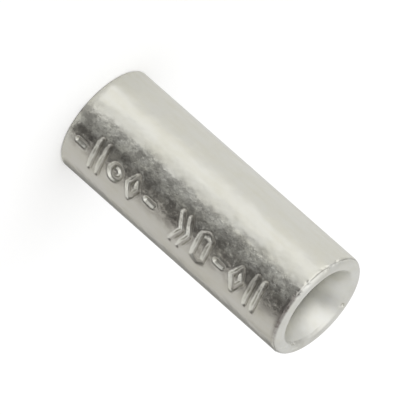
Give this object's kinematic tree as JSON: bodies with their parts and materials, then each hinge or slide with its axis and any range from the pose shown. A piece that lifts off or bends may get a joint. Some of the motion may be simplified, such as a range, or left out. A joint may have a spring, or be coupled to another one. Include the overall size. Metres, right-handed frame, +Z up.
{
  "type": "parallel splice connector",
  "caption": "Short open barrel of tinned copper, crimped around stripped wires laid side by side in its bore to join them.",
  "frame": {"origin": "middle of the lower end face, on the surface that the barrel stands on", "axes": "+Z up the bore towards the end with the crowned rim; the stamped row faces 57 degrees from +X towards -Y"},
  "size_m": [0.0032, 0.0032, 0.0084],
  "materials": {
    "tinned_copper": "satin"
  },
  "bodies": {
    "root": {"barrel": "tinned_copper"}
  },
  "joints": []
}
